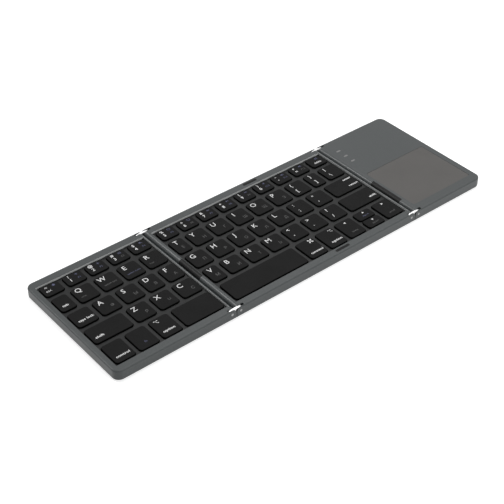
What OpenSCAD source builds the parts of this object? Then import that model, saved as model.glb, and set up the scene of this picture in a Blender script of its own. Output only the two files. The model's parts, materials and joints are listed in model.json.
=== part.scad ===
// Folding wireless keyboard: three thin leaves joined by two double-pivot hinges.
// X runs along the row of leaves, Y from the front edge to the back edge, Z up.
// The origin is at the middle of the open keyboard, on the surface its feet stand on.

/* [Leaves] */
// Left leaf, from the middle of its hinge to its outer edge
left_leaf_w = 87.45; // [84:0.05:94]
// Right leaf, from the middle of its hinge to its outer edge
right_leaf_w = 64.6; // [60:0.1:72]
// Gap left between the two outer leaves when both are folded onto the middle one
folded_gap = 0.4; // [0.3:0.1:2]
// Depth from the front edge to the back edge
leaf_d = 99.6; // [98.6:0.1:104]
// Thickness of a leaf without its feet
leaf_t = 7.4; // [7.2:0.1:8.2]
// Gap between two leaves at their hinge
leaf_gap = 0.4; // [0.3:0.1:1]
// Corner radius of the outer leaves, seen from above
corner_r = 5; // [3:0.5:6]
// Rounding of the upper outer edges
top_edge_r = 1; // [0.6:0.1:1.6]
// Rounding of the lower outer edges
bottom_edge_r = 1.2; // [0.6:0.1:1.6]

/* [Recess and deck] */
// Width of the front rim, from the front edge to the key recess
front_rim = 5.3; // [5:0.1:6]
// Width of the back rim
back_rim = 6.2; // [5.4:0.1:7]
// Width of the left rim
left_rim = 3.85; // [3.2:0.05:5]
// Distance from the left hinge's middle to the left leaf's key recess
left_end_rim = 2.45; // [2.2:0.05:3]
// Distance from the left hinge's middle to the middle leaf's key recess
middle_start_rim = 3.5; // [3.3:0.1:5]
// Distance from the right hinge's middle to the middle leaf's key recess
middle_end_rim = 2.75; // [2.5:0.05:3.2]
// Depth of the key recess below the rim
recess_depth = 1.6; // [1.2:0.1:1.8]
// Thickness of the deck that the keys come up through
deck_t = 1; // [0.8:0.1:1.2]

/* [Keys] */
// Width of a letter key
key_w = 14.2; // [13.6:0.1:14.4]
// Depth of a number row key
number_key_d = 10.5; // [9.6:0.1:10.8]
// Depth of a bottom row key
bottom_key_d = 18; // [17:0.1:18.4]
// Gap between two keys of a row
key_gap = 2.8; // [2.4:0.1:3]
// Gap between two rows
row_gap = 3.2; // [2.9:0.1:3.3]
// Gap between two keys of the bottom row
bottom_key_gap = 2.6; // [2.4:0.1:2.8]
// Gap between the up key and the down key
arrow_gap = 0.6; // [0.5:0.1:1]
// Height of a key cap
key_h = 1.9; // [1.6:0.1:2]
// Depth of the key tops below the rim
key_sink = 0.5; // [0.3:0.1:0.8]
// How far a key goes down
key_travel = 1.2; // [0.8:0.1:1.2]
// Corner radius of a key cap
key_r = 2.2; // [1.4:0.1:2.6]
// Wall of a key cap
key_wall = 1; // [0.7:0.1:1.4]
// Clearance between a key cap and its opening
key_clear = 0.25; // [0.15:0.05:0.35]
// Radius of the stud under a key cap
stud_r = 1.2; // [0.8:0.1:1.6]
// Width of the tab key
tab_w = 10.85; // [10:0.05:12]
// Width of the caps key
caps_w = 14.7; // [14:0.1:16]
// Width of the left shift key
left_shift_w = 27.3; // [26:0.1:29]
// Width of the narrow D key
d_key_w = 12.2; // [11.6:0.1:13]
// Width of the narrow T and V keys
narrow_key_w = 10.6; // [10:0.1:12]
// Width of the F key
f_key_w = 12.35; // [11.6:0.05:13]
// Width of the C key
c_key_w = 14.75; // [14:0.05:15.4]
// Width of the G key
g_key_w = 14; // [13.4:0.1:14.4]
// Width of the closing bracket's key
bracket_key_w = 10.6; // [10:0.1:12]
// Width of the enter key
enter_w = 24.2; // [23:0.1:26]
// Width of the right shift key
right_shift_w = 27.6; // [26:0.1:29]
// Width of the left leaf's space key
left_space_w = 28.45; // [26:0.05:30]
// Width of the middle leaf's space key
right_space_w = 59; // [56:0.5:62]
// Strip of deck left of the left leaf's keys
left_field_start = 1.3; // [0.9:0.1:1.6]
// Strip of deck left of the middle leaf's keys
middle_field_start = 2; // [0.9:0.1:2.2]
// Strip of deck right of the left leaf's keys
left_field_end = 1; // [0.7:0.1:1.4]
// Strip of deck right of the middle leaf's keys
middle_field_end = 1.2; // [0.7:0.1:1.5]
// Strip of deck in front of the keys
field_front = 1.6; // [1.2:0.1:1.9]
// Strip of deck behind the keys
field_back = 1.1; // [0.8:0.1:1.9]

/* [Key plates and switch sheets] */
// Thickness of the steel key plate
plate_t = 0.4; // [0.3:0.1:0.5]
// Thickness of the rubber and film switch sheet
sheet_t = 0.4; // [0.3:0.1:0.5]
// Height of a pressed rubber dome above its sheet
dome_h = 0.2; // [0.1:0.05:0.25]
// Radius of a rubber dome
dome_r = 2; // [1.4:0.1:2.4]
// Clearance around the plate and the sheet
sheet_clear = 0.15; // [0.1:0.05:0.3]

/* [Walls and covers] */
// Solid front and back walls of a leaf, which hold the hinge pins
wall_y = 4.6; // [4.4:0.1:5]
// Outer side wall of a leaf
wall_x = 3; // [2.4:0.1:3.6]
// Ledge that the switch sheet lies against
ledge = 0.8; // [0.5:0.1:1.1]
// Thickness of the bottom covers
cover_t = 0.9; // [0.8:0.1:1]
// Lip of a frame that a bottom cover lies on
cover_lip = 1.6; // [1.2:0.1:1.8]
// Clearance around a bottom cover
cover_clear = 0.1; // [0.05:0.05:0.2]
// Thickness of the ribs on the bottom covers
rib_t = 1.2; // [0.8:0.1:1.6]
// Solid strip of a frame beside its hinge edge
end_wall = 2.8; // [2.4:0.1:3.2]
// Step beside a hinge that carries the key plate's end
hinge_step = 3; // [1:0.1:3.6]
// Step that carries the key plate's end where the flexible cable comes in
flex_step = 1.6; // [1:0.1:2.4]

/* [Hinges] */
// Depth of the hinge pins below the rim, which is also the radius of the hinge edges
pin_drop = 3.1; // [2.9:0.1:3.3]
// Rounding of the lower corner at a hinge edge
hinge_corner_r = 0.5; // [0.3:0.1:1]
// Thickness of a hinge link plate
link_t = 1.6; // [1.4:0.1:1.8]
// Radius of a link's round ends
link_end_r = 2.5; // [2.2:0.1:2.6]
// Clearance on both faces of a link
link_side_clear = 0.15; // [0.1:0.05:0.25]
// Clearance around a link's round ends
link_end_clear = 0.3; // [0.2:0.05:0.4]
// Wall between a link and the front or back edge
outer_ear_t = 0.65; // [0.5:0.05:0.8]
// Radius of a hinge pin
pin_r = 0.9; // [0.7:0.1:1.1]
// Running clearance of a pin in a leaf
pin_fit = 0.05; // [0.02:0.01:0.1]
// Length of a pin beyond the inner face of its link
pin_inner_l = 1.6; // [1.2:0.1:1.8]
// Depth of a pin's end below the front or back edge
pin_sink = 0.05; // [0.02:0.01:0.2]

/* [Flexible cables] */
// Thickness of a flexible cable
flex_t = 0.25; // [0.15:0.05:0.35]
// Clearance around a flexible cable
flex_clear = 0.05; // [0.03:0.01:0.1]
// Width of the left flexible cable
left_flex_w = 21.5; // [16:0.5:26]
// Middle of the left flexible cable
left_flex_y = -1.3; // [-8:0.1:8]
// Width of the right flexible cable
right_flex_w = 27.4; // [20:0.2:30]
// Middle of the right flexible cable
right_flex_y = -20; // [-24:0.5:-16]

/* [Rubber bumpers and feet] */
// Length of a rim bumper
bumper_l = 11.6; // [8:0.2:14]
// Width of a rim bumper
bumper_w = 1.9; // [1.5:0.1:2.2]
// Depth of a bumper's pocket in the rim
bumper_depth = 0.8; // [0.6:0.1:1]
// Height of a bumper above the rim
bumper_proud = 0.15; // [0.05:0.05:0.2]
// Distance from the front or back edge to the middle of a bumper
bumper_inset = 3; // [2.8:0.1:3.4]
// Distance of the bumpers to the right of where the folded leaves meet
bumper_shift = 1.5; // [0:0.1:3]
// Height of the feet
foot_h = 0.6; // [0.4:0.1:1]
// Radius of a foot
foot_r = 4; // [3:0.5:5]
// Distance from a cover's long edge to the middle of a foot
foot_inset_y = 6.8; // [6:0.1:8]
// Distance from a cover's short edge to the middle of a foot
foot_inset_x = 7; // [6:0.5:9]

/* [Screws] */
// Radius of a screw's shank
screw_r = 0.6; // [0.5:0.05:0.7]
// Clearance around a screw
screw_clear = 0.05; // [0.03:0.01:0.1]
// Radius of a screw's head
screw_head_r = 1.3; // [1.1:0.1:1.5]
// Height of a screw's head
screw_head_h = 0.4; // [0.3:0.05:0.5]
// Radius of the bosses that the screws go into
boss_r = 1.3; // [1.2:0.05:1.4]
// Depth of a screw's end below the top of its hole
screw_end_gap = 0.2; // [0.1:0.1:0.4]
// Distance from a cover's short edge to the screws
screw_inset_x = 16; // [14:0.5:20]
// Distance from the right cover's short edges to its screws
right_screw_inset_x = 2.2; // [1.9:0.1:2.4]
// Distance from the right leaf's front and back walls to its screws
right_screw_inset_y = 2.5; // [1.5:0.1:3]

/* [Touch panel] */
// Distance from the right hinge's middle to the touch panel
touch_start = 5.35; // [5:0.05:7]
// Depth of the touch panel
touch_d = 46; // [40:0.5:48]
// Distance from the right edge to the touch panel
touch_inset_x = 5.05; // [4.6:0.05:7]
// Distance from the front edge to the touch panel
touch_inset_y = 6.8; // [6.4:0.1:8]
// Thickness of the touch panel
touch_t = 1; // [0.8:0.1:1.2]
// Depth of the touch panel below the rim
touch_sink = 0.1; // [0.05:0.05:0.4]
// Clearance around the touch panel
touch_clear = 0.1; // [0.05:0.05:0.3]
// Corner radius of the touch panel
touch_r = 1.5; // [1:0.1:3]
// Ledge that the touch panel lies on
touch_ledge = 1.5; // [1:0.1:2.5]
// Thickness of the right leaf's top wall
top_wall_t = 1.9; // [1.7:0.1:2.2]

/* [Electronics] */
// Gap between the main board and the screw bosses
board_side_gap = 2; // [0.4:0.1:3]
// Depth of the main board
board_d = 34; // [30:0.5:36]
// Thickness of the main board
board_t = 0.8; // [0.6:0.1:1]
// Height of the board's standoffs above the bottom cover
standoff_h = 0.4; // [0.3:0.1:0.6]
// Radius of a standoff
standoff_r = 2; // [1.5:0.1:2.5]
// Distance from the board's edges to its standoffs
standoff_inset = 4; // [3:0.5:6]
// Distance from the board's back edge to the back wall
board_back_gap = 0.6; // [0.4:0.1:1]
// Height of the main chip
chip_h = 1; // [0.6:0.1:1.4]
// Width of the main chip
chip_w = 7; // [5:0.5:9]
// Distance from the board's short edges to its chips
chip_inset = 5.8; // [4:0.2:8]
// Distance from the board's front edge to its chips
chip_front = 12; // [8:1:16]
// Width of the clock crystal
crystal_w = 5; // [3:0.5:6]
// Width of the socket at the board's front edge
socket_w = 20; // [12:1:24]
// Depth of the socket and of the clock crystal
socket_d = 3; // [2:0.5:4]
// Gap between the battery and the screw bosses
battery_side_gap = 2; // [0.5:0.1:4]
// Depth of the battery
battery_d = 40; // [30:1:42]
// Thickness of the battery
battery_t = 3.6; // [3:0.1:3.8]
// Distance from the front wall to the battery
battery_front_gap = 2; // [1:0.5:3]
// Width of the charging port
port_w = 8.94; // [8.8:0.02:9.1]
// Height of the charging port
port_h = 3.26; // [3.1:0.02:3.3]
// Length of the charging port
port_l = 7.3; // [6.5:0.1:8]
// Sheet thickness of the charging port
port_t = 0.3; // [0.25:0.05:0.35]
// Thickness of the charging port's tongue
tongue_t = 0.7; // [0.6:0.05:0.8]
// Width of the charging port's tongue
tongue_w = 6.7; // [6.5:0.05:6.8]
// Depth of the tongue's end inside the port's mouth
tongue_sink = 0.8; // [0.6:0.1:1]
// Depth of the port's mouth below the back edge
port_sink = 0.3; // [0.2:0.1:0.8]
// Clearance around the charging port
port_clear = 0.15; // [0.1:0.05:0.2]
// Distance from the right hinge's middle to the indicators
indicator_x = 9.5; // [8.5:0.1:14]
// Distance from the back edge to the first indicator
indicator_y = 13.8; // [12:0.2:16]
// Distance between two indicators
indicator_pitch = 7.5; // [6:0.1:9]
// Length of an indicator window
indicator_l = 3.6; // [2.6:0.1:4]
// Width of an indicator window
indicator_w = 1.5; // [1:0.1:2]
// Clearance around an indicator window
indicator_clear = 0.05; // [0.03:0.01:0.1]

/* [Hidden] */
$fn = 48;
eps = 0.1; // overlap of cuts beyond the faces that they open

// Places of the leaves and hinges
middle_w = left_leaf_w + right_leaf_w + folded_gap;
open_w = left_leaf_w + middle_w + right_leaf_w;
left_x = -open_w / 2;
right_x = open_w / 2;
left_hinge_x = left_x + left_leaf_w;
right_hinge_x = right_x - right_leaf_w;
folded_seam_x = left_hinge_x + left_leaf_w + folded_gap / 2;
half_d = leaf_d / 2;
rim_z = foot_h + leaf_t;
end_r = pin_drop;
pin_dx = leaf_gap / 2 + end_r;
pin_z = rim_z - pin_drop;

// Heights, from the top down
deck_top = rim_z - recess_depth;
deck_under = deck_top - deck_t;
key_top = rim_z - key_sink;
key_under = key_top - key_h;
key_ceiling = key_top - key_wall;
stud_under = key_under + 0.1;
sheet_top = key_under - key_travel - 0.2;
plate_top = sheet_top - sheet_t;
plate_under = plate_top - plate_t;
cover_top = foot_h + cover_t;
screw_top = deck_under - 0.4;

// Depth of a letter key, which fills the recess
key_field_d = leaf_d - front_rim - back_rim - field_front - field_back;
key_d = (key_field_d - bottom_key_d - number_key_d - 4 * row_gap) / 3;

// Edges of the key recesses and key fields: [left, right] of the left leaf and of the middle leaf
recess_front = -half_d + front_rim;
recess_back = half_d - back_rim;
left_recess = [left_x + left_rim, left_hinge_x - left_end_rim];
middle_recess = [left_hinge_x + middle_start_rim, right_hinge_x - middle_end_rim];
left_field = [left_recess[0] + left_field_start, left_recess[1] - left_field_end];
middle_field = [middle_recess[0] + middle_field_start, middle_recess[1] - middle_field_end];

// Cavities: [left, right] of each leaf below its deck
cavity_y = half_d - wall_y;
left_cavity = [left_x + wall_x, left_hinge_x - leaf_gap / 2 - end_wall];
middle_cavity = [left_hinge_x + leaf_gap / 2 + end_wall + 2, right_hinge_x - leaf_gap / 2 - end_wall];
right_cavity = [right_hinge_x + pin_dx + 1.7, right_x - wall_x];

// Bottom covers: [left, right] of each leaf
left_cover = [left_x + wall_x - cover_lip, left_hinge_x - pin_dx - 0.5];
middle_cover = [left_hinge_x + pin_dx + 0.5, right_hinge_x - pin_dx - 0.5];
right_cover = [right_hinge_x + pin_dx + 0.5, right_x - wall_x + cover_lip];
cover_y = cavity_y + cover_lip;

// Rows of keys, counted from the number row: [front, back]
row_5 = [recess_front + field_front, recess_front + field_front + bottom_key_d];
row_4 = [row_5[1] + row_gap, row_5[1] + row_gap + key_d];
row_3 = [row_4[1] + row_gap, row_4[1] + row_gap + key_d];
row_2 = [row_3[1] + row_gap, row_3[1] + row_gap + key_d];
row_1 = [row_2[1] + row_gap, row_2[1] + row_gap + number_key_d];

function sum(list, i = 0) = i == len(list) ? 0 : list[i] + sum(list, i + 1);
function same(count, size) = [for (i = [1 : count]) size];
// The widths of a row's keys, eased a little so that the row fills its field
function fitted(widths, field, gap) =
    let (ease = (field[1] - field[0] - (len(widths) - 1) * gap) / sum(widths)) [for (w = widths) w * ease];
// Keys side by side from the left end of a field: [left, right, front, back] each
function keys_in_row(nominal, field, row, gap) = let (widths = fitted(nominal, field, gap)) [
    for (i = [0 : len(widths) - 1])
        let (left = field[0] + gap * i + sum([for (j = [0 : 1 : i - 1]) widths[j]]))
            [left, left + widths[i], row[0], row[1]]
];

row_2_left = concat(tab_w, same(4, key_w));
row_3_left = [caps_w, key_w, key_w, d_key_w, f_key_w];
row_4_left = [left_shift_w, key_w, key_w, c_key_w];
row_5_left = concat(same(3, key_w), left_space_w);
row_2_middle = concat(narrow_key_w, same(6, key_w), bracket_key_w, key_w);
row_3_middle = concat(g_key_w, same(6, key_w), enter_w);
row_4_middle = concat(narrow_key_w, same(6, key_w), right_shift_w);
row_5_middle = concat(right_space_w, same(5, key_w));

left_1 = keys_in_row(same(5, key_w), left_field, row_1, key_gap);
left_2 = keys_in_row(row_2_left, left_field, row_2, key_gap);
left_3 = keys_in_row(row_3_left, left_field, row_3, key_gap);
left_4 = keys_in_row(row_4_left, left_field, row_4, key_gap);
left_5 = keys_in_row(row_5_left, left_field, row_5, bottom_key_gap);
middle_1 = keys_in_row(same(9, key_w), middle_field, row_1, key_gap);
middle_2 = keys_in_row(row_2_middle, middle_field, row_2, key_gap);
middle_3 = keys_in_row(row_3_middle, middle_field, row_3, key_gap);
middle_4 = keys_in_row(row_4_middle, middle_field, row_4, key_gap);
middle_5 = keys_in_row(row_5_middle, middle_field, row_5, bottom_key_gap);

// The fifth key of the middle leaf's bottom row is split into an up key and a down key
arrow_d = (bottom_key_d - arrow_gap) / 2;
up_key = [middle_5[4][0], middle_5[4][1], row_5[1] - arrow_d, row_5[1]];
down_key = [middle_5[4][0], middle_5[4][1], row_5[0], row_5[0] + arrow_d];

// Keys that have a node each: name and place
SINGLE_KEYS = [
    ["key_q", left_2[1]], ["key_w", left_2[2]], ["key_e", left_2[3]], ["key_r", left_2[4]],
    ["key_a", left_3[1]], ["key_s", left_3[2]], ["key_d", left_3[3]], ["key_f", left_3[4]],
    ["key_z", left_4[1]], ["key_x", left_4[2]], ["key_c", left_4[3]], ["key_left_space", left_5[3]],
    ["key_t", middle_2[0]], ["key_y", middle_2[1]], ["key_u", middle_2[2]], ["key_i", middle_2[3]],
    ["key_o", middle_2[4]], ["key_p", middle_2[5]], ["key_g", middle_3[0]], ["key_h", middle_3[1]],
    ["key_j", middle_3[2]], ["key_k", middle_3[3]], ["key_l", middle_3[4]], ["key_v", middle_4[0]],
    ["key_b", middle_4[1]], ["key_n", middle_4[2]], ["key_m", middle_4[3]],
    ["key_right_space", middle_5[0]]
];
// Keys that share a node
LEFT_SIDE_KEYS = [left_2[0], left_3[0], left_4[0], left_5[0], left_5[1], left_5[2]];
MIDDLE_SIDE_KEYS = concat(
    [for (i = [6 : 8]) middle_2[i]], [for (i = [5 : 7]) middle_3[i]], [for (i = [4 : 7]) middle_4[i]],
    [middle_5[1], middle_5[2], middle_5[3], up_key, down_key, middle_5[5]]
);
left_keys = concat(left_1, left_2, left_3, left_4, left_5);
middle_keys = concat(middle_1, middle_2, middle_3, middle_4,
    [for (i = [0, 1, 2, 3, 5]) middle_5[i]], [up_key, down_key]);

// Screws stand in the gaps between rows 1 and 2 and between rows 4 and 5
screw_rows = [row_5[1] + row_gap / 2, row_2[1] + row_gap / 2];

// A box between two corners
module box(low, high) {
    translate(low) cube(high - low);
}

// A flat rectangle between two corners, with round corners
module round_rect(x0, x1, y0, y1, r) {
    translate([x0 + r, y0]) square([x1 - x0 - 2 * r, y1 - y0]);
    translate([x0, y0 + r]) square([x1 - x0, y1 - y0 - 2 * r]);
    for (x = [x0 + r, x1 - r])
        for (y = [y0 + r, y1 - r])
            translate([x, y]) circle(r);
}

// A shape drawn in X and Z, stretched along Y
module along_y(y0, y1) {
    translate([0, y1, 0]) rotate([90, 0, 0]) linear_extrude(y1 - y0) children();
}

// A shape drawn in Y and Z, stretched along X
module along_x(x0, x1) {
    translate([x0, 0, 0]) rotate([90, 0, 90]) linear_extrude(x1 - x0) children();
}

// The section of a rim: from x = 0 to its round upper and lower edges at x = w
module rim_profile(w) {
    lower = foot_h + bottom_edge_r;
    upper = rim_z - top_edge_r;
    translate([0, lower]) square([w, upper - lower]);
    translate([0, foot_h]) square([w - bottom_edge_r, lower - foot_h + eps]);
    translate([0, upper - eps]) square([w - top_edge_r, top_edge_r + eps]);
    translate([w - bottom_edge_r, lower]) circle(bottom_edge_r);
    translate([w - top_edge_r, upper]) circle(top_edge_r);
}

// The section from the front edge to the back edge
module edge_profile() {
    rim_profile(half_d);
    mirror([1, 0]) rim_profile(half_d);
}

// A slab from x0 to a hinge edge at x1, which is round about the pins above them and straight below
module hinge_profile(x0, x1) {
    side = sign(x1 - x0);
    w = abs(x1 - x0);
    lower = foot_h + hinge_corner_r;
    corner_x = x1 - side * hinge_corner_r;
    translate([min(x0, x1 - side * end_r), foot_h]) square([w - end_r, leaf_t]);
    translate([min(x0, x1), lower]) square([w, pin_z - lower]);
    translate([min(x0, corner_x), foot_h]) square([w - hinge_corner_r, pin_z - foot_h]);
    translate([corner_x, lower]) circle(hinge_corner_r);
    translate([x1 - side * end_r, pin_z]) circle(end_r);
}

// A leaf's form between a flat end and a hinge end, in either order
module hinge_part(flat_x, hinge_x) {
    intersection() {
        along_y(-half_d, half_d) hinge_profile(flat_x, hinge_x);
        along_x(min(flat_x, hinge_x), max(flat_x, hinge_x)) edge_profile();
    }
}

// The outer form of the middle leaf
module middle_body() {
    x0 = left_hinge_x + leaf_gap / 2;
    x1 = right_hinge_x - leaf_gap / 2;
    intersection() {
        along_y(-half_d, half_d) {
            hinge_profile(x1 - end_r, x0);
            hinge_profile(x0 + end_r, x1);
        }
        along_x(x0, x1) edge_profile();
    }
}

// The outer form of an outer leaf: its rounded outer side with two corners, and its hinge part
module outer_body(outer_x, hinge_x) {
    side = sign(hinge_x - outer_x);
    inner_x = outer_x + side * corner_r;
    hinge_part(inner_x, hinge_x);
    translate([inner_x, 0, 0]) rotate([0, 0, 90 + side * 90])
        along_y(corner_r - half_d, half_d - corner_r) rim_profile(corner_r);
    for (end = [-1, 1])
        translate([inner_x, end * (half_d - corner_r), 0]) rotate([0, 0, 45 + side * (90 - end * 45)])
            rotate_extrude(angle = 90) rim_profile(corner_r);
}

// Openings of a leaf's deck, one for each key
module key_openings(keys) {
    for (k = keys)
        translate([0, 0, deck_under - eps]) linear_extrude(deck_t + 2 * eps)
            round_rect(k[0] - key_clear, k[1] + key_clear, k[2] - key_clear, k[3] + key_clear,
                key_r + key_clear);
}

// Room for one link in the leaf on one side of a hinge, with the bore of its pin
module link_slot(hinge_x, side, end) {
    r = link_end_r + link_end_clear;
    pin_x = hinge_x + side * pin_dx;
    outer_y = half_d - outer_ear_t;
    inner_y = outer_y - link_t - 2 * link_side_clear;
    y0 = end > 0 ? inner_y : -outer_y;
    y1 = end > 0 ? outer_y : -inner_y;
    along_y(y0, y1) {
        translate([pin_x, pin_z]) circle(r);
        translate([min(pin_x, hinge_x), pin_z - r]) square([pin_dx, rim_z]);
        translate([min(pin_x + side * r, hinge_x), pin_z]) square([pin_dx + r, rim_z]);
    }
    bore_end = inner_y - pin_inner_l - pin_fit;
    along_y(end > 0 ? bore_end : -half_d - eps, end > 0 ? half_d + eps : -bore_end)
        translate([pin_x, pin_z]) circle(pin_r + pin_fit);
}

module link_slots(hinge_x, side) {
    for (end = [-1, 1]) link_slot(hinge_x, side, end);
}

// Two steps of the space below a deck: for the plate and sheet, and for the keys
module key_cavity(cavity, left_ledge, right_ledge, low_left, low_right) {
    box([cavity[0] + low_left, -cavity_y, foot_h + eps], [cavity[1] - low_right, cavity_y, sheet_top]);
    box([cavity[0], -cavity_y, plate_under], [cavity[1], cavity_y, sheet_top]);
    box([cavity[0] + left_ledge, ledge - cavity_y, sheet_top - eps],
        [cavity[1] - right_ledge, cavity_y - ledge, deck_under]);
}

// The shallow seat of a bottom cover
module cover_seat(cover) {
    box([cover[0], -cover_y, foot_h - eps], [cover[1], cover_y, cover_top]);
}

function screw_places(cover) = [
    for (x = [cover[0] + screw_inset_x, cover[1] - screw_inset_x]) for (y = screw_rows) [x, y]
];

module bosses(cover) {
    for (p = screw_places(cover))
        difference() {
            translate([p[0], p[1], cover_top]) cylinder(r = boss_r, h = deck_under - cover_top + eps);
            translate([p[0], p[1], cover_top - eps])
                cylinder(r = screw_r + screw_clear, h = screw_top - cover_top + eps);
        }
}

// A cable that lies on a round hinge edge and goes in through it; grow widens it for the cut
module flex_form(hinge_x, side, y, w, inner_x, grow) {
    pin_x = hinge_x + side * pin_dx;
    outer = end_r - 0.02 + (grow > 0 ? 1 : 0);
    inner = end_r - flex_t - 0.02 - grow;
    y0 = y - w / 2 - grow;
    y1 = y + w / 2 + grow;
    low = pin_z - flex_t / 2 - grow;
    intersection() {
        along_y(y0, y1) difference() {
            translate([pin_x, pin_z]) circle(outer);
            translate([pin_x, pin_z]) circle(inner);
        }
        box([min(pin_x, hinge_x), y0 - eps, low], [max(pin_x, hinge_x), y1 + eps, rim_z + 1]);
    }
    tail_x = pin_x - side * (end_r - flex_t);
    box([min(tail_x, inner_x), y0, low], [max(tail_x, inner_x), y1, low + flex_t + 2 * grow]);
}

module key_frame_recess(recess) {
    box([recess[0], recess_front, deck_top], [recess[1], recess_back, rim_z + eps]);
}

module left_frame() {
    color("DimGray") {
        difference() {
            outer_body(left_x, left_hinge_x - leaf_gap / 2);
            key_frame_recess(left_recess);
            key_openings(left_keys);
            key_cavity(left_cavity, ledge, 0, 0, hinge_step);
            cover_seat(left_cover);
            link_slots(left_hinge_x, -1);
        }
        bosses(left_cover);
    }
}

module middle_frame() {
    color("DimGray") {
        difference() {
            middle_body();
            key_frame_recess(middle_recess);
            key_openings(middle_keys);
            key_cavity(middle_cavity, 0, 0, flex_step, hinge_step);
            cover_seat(middle_cover);
            link_slots(left_hinge_x, 1);
            link_slots(right_hinge_x, -1);
            flex_form(left_hinge_x, 1, left_flex_y, left_flex_w, middle_cavity[0] + eps, flex_clear);
            for (end = [-1, 1]) bumper(end, rim_z - bumper_depth, 2, 0.05);
        }
        bosses(middle_cover);
    }
}

// Rubber strip in the rim, where the outer edges of the folded leaves come to lie
module bumper(end, low, h, grow) {
    x = folded_seam_x + bumper_shift;
    y = end * (half_d - bumper_inset);
    translate([0, 0, low]) linear_extrude(h)
        round_rect(x - bumper_l / 2 - grow, x + bumper_l / 2 + grow,
            y - bumper_w / 2 - grow, y + bumper_w / 2 + grow, bumper_w / 2 - 0.01);
}

module rim_bumpers() {
    color("Black")
        for (end = [-1, 1]) bumper(end, rim_z - bumper_depth, bumper_depth + bumper_proud, 0);
}

// Sheet layer of a key leaf, with holes for the screw bosses
module sheet(cavity, cover, low, h) {
    difference() {
        box([cavity[0] + sheet_clear, sheet_clear - cavity_y, low],
            [cavity[1] - sheet_clear, cavity_y - sheet_clear, low + h]);
        for (p = screw_places(cover))
            translate([p[0], p[1], low - eps]) cylinder(r = boss_r + sheet_clear, h = h + 2 * eps);
    }
}

module domes(keys) {
    for (k = keys)
        translate([(k[0] + k[1]) / 2, (k[2] + k[3]) / 2, sheet_top - eps])
            cylinder(r = dome_r, h = dome_h + eps);
}

module left_key_plate() {
    color("Silver") sheet(left_cavity, left_cover, plate_under, plate_t);
}

module left_switch_sheet() {
    color("SlateGray") {
        sheet(left_cavity, left_cover, plate_top, sheet_t);
        domes(left_keys);
    }
}

module middle_key_plate() {
    color("Silver") sheet(middle_cavity, middle_cover, plate_under, plate_t);
}

module middle_switch_sheet() {
    color("SlateGray") {
        sheet(middle_cavity, middle_cover, plate_top, sheet_t);
        domes(middle_keys);
    }
}

// Bottom cover: a plate in its seat with the holes for the screws
module cover_plate(cover, places) {
    difference() {
        box([cover[0] + cover_clear, cover_clear - cover_y, foot_h],
            [cover[1] - cover_clear, cover_y - cover_clear, cover_top]);
        for (p = places) {
            translate([p[0], p[1], foot_h - eps])
                cylinder(r = screw_head_r + screw_clear, h = screw_head_h + eps);
            translate([p[0], p[1], foot_h]) cylinder(r = screw_r + screw_clear, h = cover_t + eps);
        }
    }
}

// Bottom cover of a key leaf, with a rib under each row of keys that carries the key plate
module key_cover(cover, cavity, low_left, low_right) {
    cover_plate(cover, screw_places(cover));
    for (row = [row_1, row_2, row_3, row_4, row_5])
        box([cavity[0] + low_left + cover_clear, (row[0] + row[1] - rib_t) / 2, cover_top - eps],
            [cavity[1] - low_right - cover_clear, (row[0] + row[1] + rib_t) / 2, plate_under]);
}

module left_bottom_cover() {
    color("DarkSlateGray") key_cover(left_cover, left_cavity, 0, hinge_step);
}

module middle_bottom_cover() {
    color("DarkSlateGray") key_cover(middle_cover, middle_cavity, flex_step, hinge_step);
}

// Screws of a leaf, all alike
module screws(places) {
    color("LightSlateGray")
        for (p = places) {
            translate([p[0], p[1], foot_h]) cylinder(r = screw_head_r, h = screw_head_h);
            translate([p[0], p[1], foot_h + screw_head_h - eps])
                cylinder(r = screw_r, h = screw_top - screw_end_gap - foot_h - screw_head_h + eps);
        }
}

module left_screws() {
    screws(screw_places(left_cover));
}

module middle_screws() {
    screws(screw_places(middle_cover));
}

// Feet of a leaf, all alike
module feet(cover) {
    color("Black")
        for (x = [cover[0] + foot_inset_x, cover[1] - foot_inset_x])
            for (y = [foot_inset_y - cover_y, cover_y - foot_inset_y])
                translate([x, y, 0]) cylinder(r = foot_r, h = foot_h);
}

module left_feet() {
    feet(left_cover);
}

module middle_feet() {
    feet(middle_cover);
}

module right_feet() {
    feet(right_cover);
}

// Right leaf: touch panel, board, battery, port and indicators
touch_x = [right_hinge_x + touch_start, right_x - touch_inset_x];
touch_y = [touch_inset_y - half_d, touch_inset_y - half_d + touch_d];
touch_top = rim_z - touch_sink;
touch_under = touch_top - touch_t;
top_wall_under = rim_z - top_wall_t;
battery_y = [battery_front_gap - cavity_y, battery_front_gap - cavity_y + battery_d];
right_screw_x = [right_cover[0] + right_screw_inset_x, right_cover[1] - right_screw_inset_x];
right_screw_y = [
    right_screw_inset_y - cavity_y, battery_y[1] + right_screw_inset_y, cavity_y - right_screw_inset_y
];
right_screws_at = [for (x = right_screw_x) for (y = right_screw_y) [x, y]];
between_bosses = [right_screw_x[0] + boss_r, right_screw_x[1] - boss_r];
board_x = [between_bosses[0] + board_side_gap, between_bosses[1] - board_side_gap];
board_y = [cavity_y - board_back_gap - board_d, cavity_y - board_back_gap];
board_under = cover_top + standoff_h;
board_top = board_under + board_t;
battery_x = [between_bosses[0] + battery_side_gap, between_bosses[1] - battery_side_gap];
port_x = (board_x[0] + board_x[1]) / 2;
port_z = board_top + port_h / 2;

module touch_outline(grow) {
    round_rect(touch_x[0] - grow, touch_x[1] + grow, touch_y[0] - grow, touch_y[1] + grow, touch_r);
}

module indicator_outline(i, grow) {
    x = right_hinge_x + indicator_x;
    y = half_d - indicator_y - i * indicator_pitch;
    round_rect(x - indicator_l / 2 - grow, x + indicator_l / 2 + grow,
        y - indicator_w / 2 - grow, y + indicator_w / 2 + grow, indicator_w / 2 - 0.01);
}

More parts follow.
